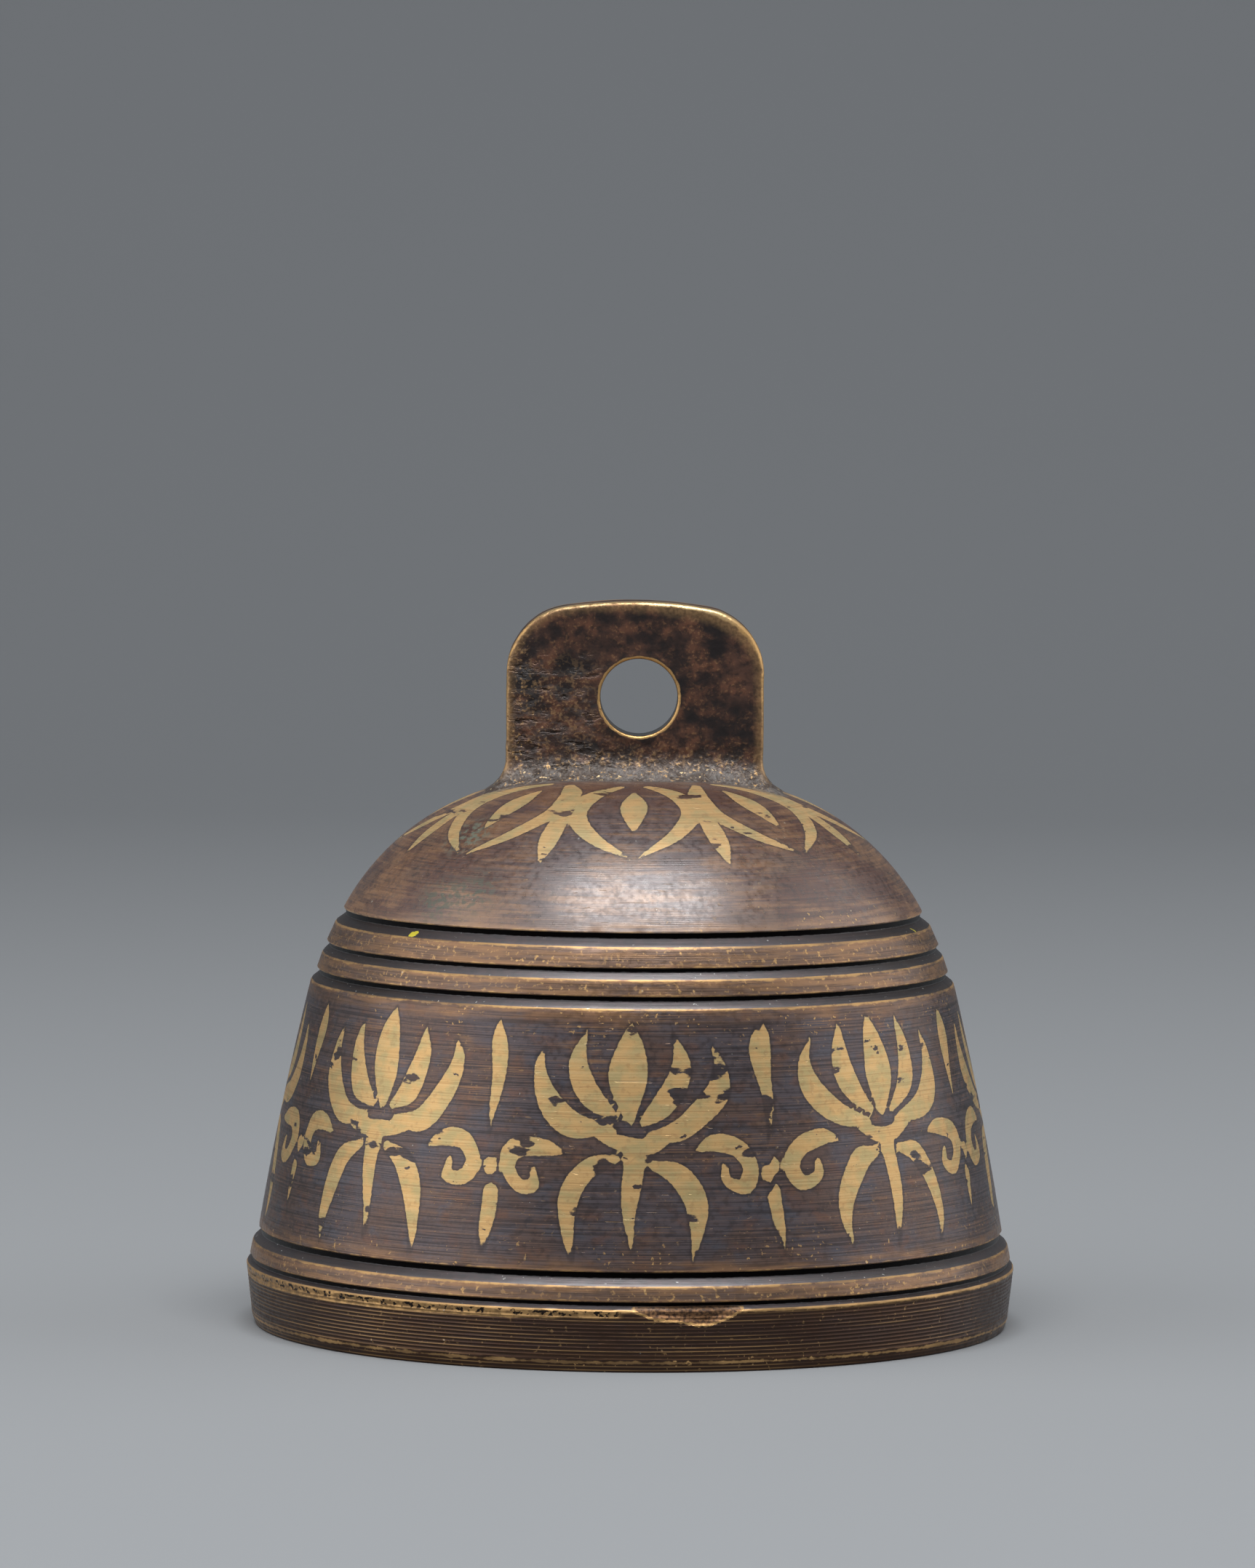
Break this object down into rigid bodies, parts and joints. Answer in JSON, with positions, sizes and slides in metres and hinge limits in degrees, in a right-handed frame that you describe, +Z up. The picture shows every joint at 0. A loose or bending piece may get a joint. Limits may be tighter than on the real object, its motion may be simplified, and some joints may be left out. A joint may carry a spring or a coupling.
{
  "type": "hanging bell",
  "caption": "Turned brass hanging bell with grooved bands, a flat drilled lug and a ball striker on a wire link inside.",
  "frame": {"origin": "middle of the mouth, level with the rim the bell stands on", "axes": "+Z up along the bell's axis to the lug; +Y along the lug's hole, so the lug's wide face, the front, looks along -Y"},
  "size_m": [0.075, 0.075, 0.0706],
  "materials": {
    "bell_brass": "turned cast brass under a dark brown patina, worn bright on its edges, with bright brushed ornament",
    "wire_iron": "drawn iron wire, dark and slightly rusted, rubbed bright where it bears",
    "forged_iron": "hammered iron with dark scale and light rust",
    "striker_brass": "cast brass ball, tarnished, rubbed bright round its belt"
  },
  "bodies": {
    "bell": {"bell_body": "bell_brass", "clapper_staple": "wire_iron"},
    "link": {"clapper_link": "wire_iron"},
    "striker": {"clapper_shank": "forged_iron", "clapper_ball": "striker_brass"}
  },
  "joints": [
    {"name": "link_swing", "type": "hinge", "parent": "bell", "child": "link", "pos_m": [0, 0, 0.0437], "axis": [0, 1, 0], "range_deg": [-41, 41]},
    {"name": "striker_swing", "type": "hinge", "parent": "link", "child": "striker", "pos_m": [0, 0, 0.0385], "axis": [1, 0, 0], "range_deg": [-20, 20]}
  ]
}
